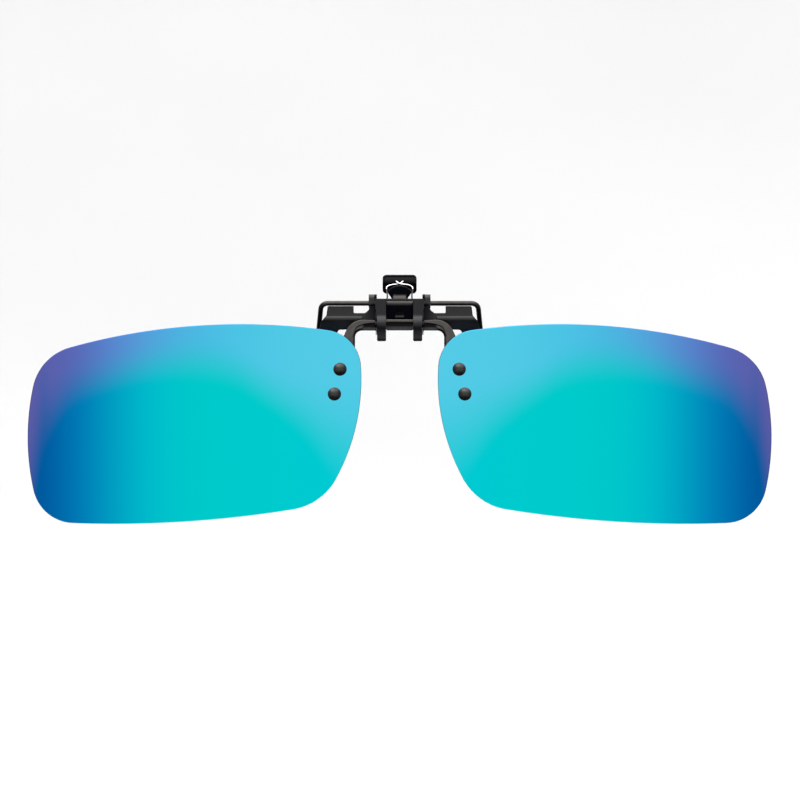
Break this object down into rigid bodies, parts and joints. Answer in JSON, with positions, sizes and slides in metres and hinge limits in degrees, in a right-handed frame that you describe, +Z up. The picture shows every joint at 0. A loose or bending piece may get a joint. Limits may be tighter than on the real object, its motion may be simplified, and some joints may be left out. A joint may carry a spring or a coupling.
{
  "type": "clip-on flip-up sunglasses",
  "caption": "Rimless flip-up clip-on sunglasses: curved mirrored lenses riveted to a bar that turns in a sprung black metal clip worn on spectacles.",
  "frame": {"origin": "middle of the grip: between the front pads' faces and the rear sleeves, in the plane of symmetry", "axes": "+X towards the viewer's right across the face, -Y out of the lenses' mirrored front, +Z up; the clip slides down over spectacles along -Z"},
  "size_m": [0.133, 0.0093, 0.0446],
  "materials": {
    "black_sheet": "satin black coating on stamped steel",
    "dark_wire": "satin dark coating on bent steel wire",
    "gunmetal_casting": "satin gunmetal coating",
    "spring_steel": "bright drawn steel",
    "soft_rubber": "soft matt moulded rubber",
    "black_rivet": "satin black, domed",
    "nylon": "natural nylon",
    "mirror_lens": "blue-green mirror coating on a dark polarised lens"
  },
  "bodies": {
    "clip_body": {"jaw_plate": "black_sheet", "hinge_bracket": "black_sheet", "detent_spring": "black_sheet", "left_front_pad": "soft_rubber", "right_front_pad": "soft_rubber", "left_torsion_spring": "spring_steel", "right_torsion_spring": "spring_steel"},
    "rear_jaw": {"jaw_wire": "dark_wire", "thumb_lever": "black_sheet", "left_rear_sleeve": "soft_rubber", "right_rear_sleeve": "soft_rubber"},
    "lens_carrier": {"bridge": "gunmetal_casting", "left_lens": "mirror_lens", "right_lens": "mirror_lens", "left_upper_rivet": "black_rivet", "left_lower_rivet": "black_rivet", "right_upper_rivet": "black_rivet", "right_lower_rivet": "black_rivet", "left_upper_bushing": "nylon", "left_lower_bushing": "nylon", "right_upper_bushing": "nylon", "right_lower_bushing": "nylon", "left_upper_washer": "nylon", "left_lower_washer": "nylon", "right_upper_washer": "nylon", "right_lower_washer": "nylon"}
  },
  "joints": [
    {"name": "jaw_hinge", "type": "hinge", "parent": "clip_body", "child": "rear_jaw", "pos_m": [0, -0.00354, 0.0116], "axis": [1, 0, 0], "range_deg": [0, 25], "stiffness_Nm_per_rad": 0.02, "springref_deg": -22.92, "deforming": ["left_torsion_spring", "right_torsion_spring"]},
    {"name": "flip_hinge", "type": "hinge", "parent": "clip_body", "child": "lens_carrier", "pos_m": [0, -0.00379, 0.00786], "axis": [-1, 0, 0], "range_deg": [0, 90]}
  ]
}
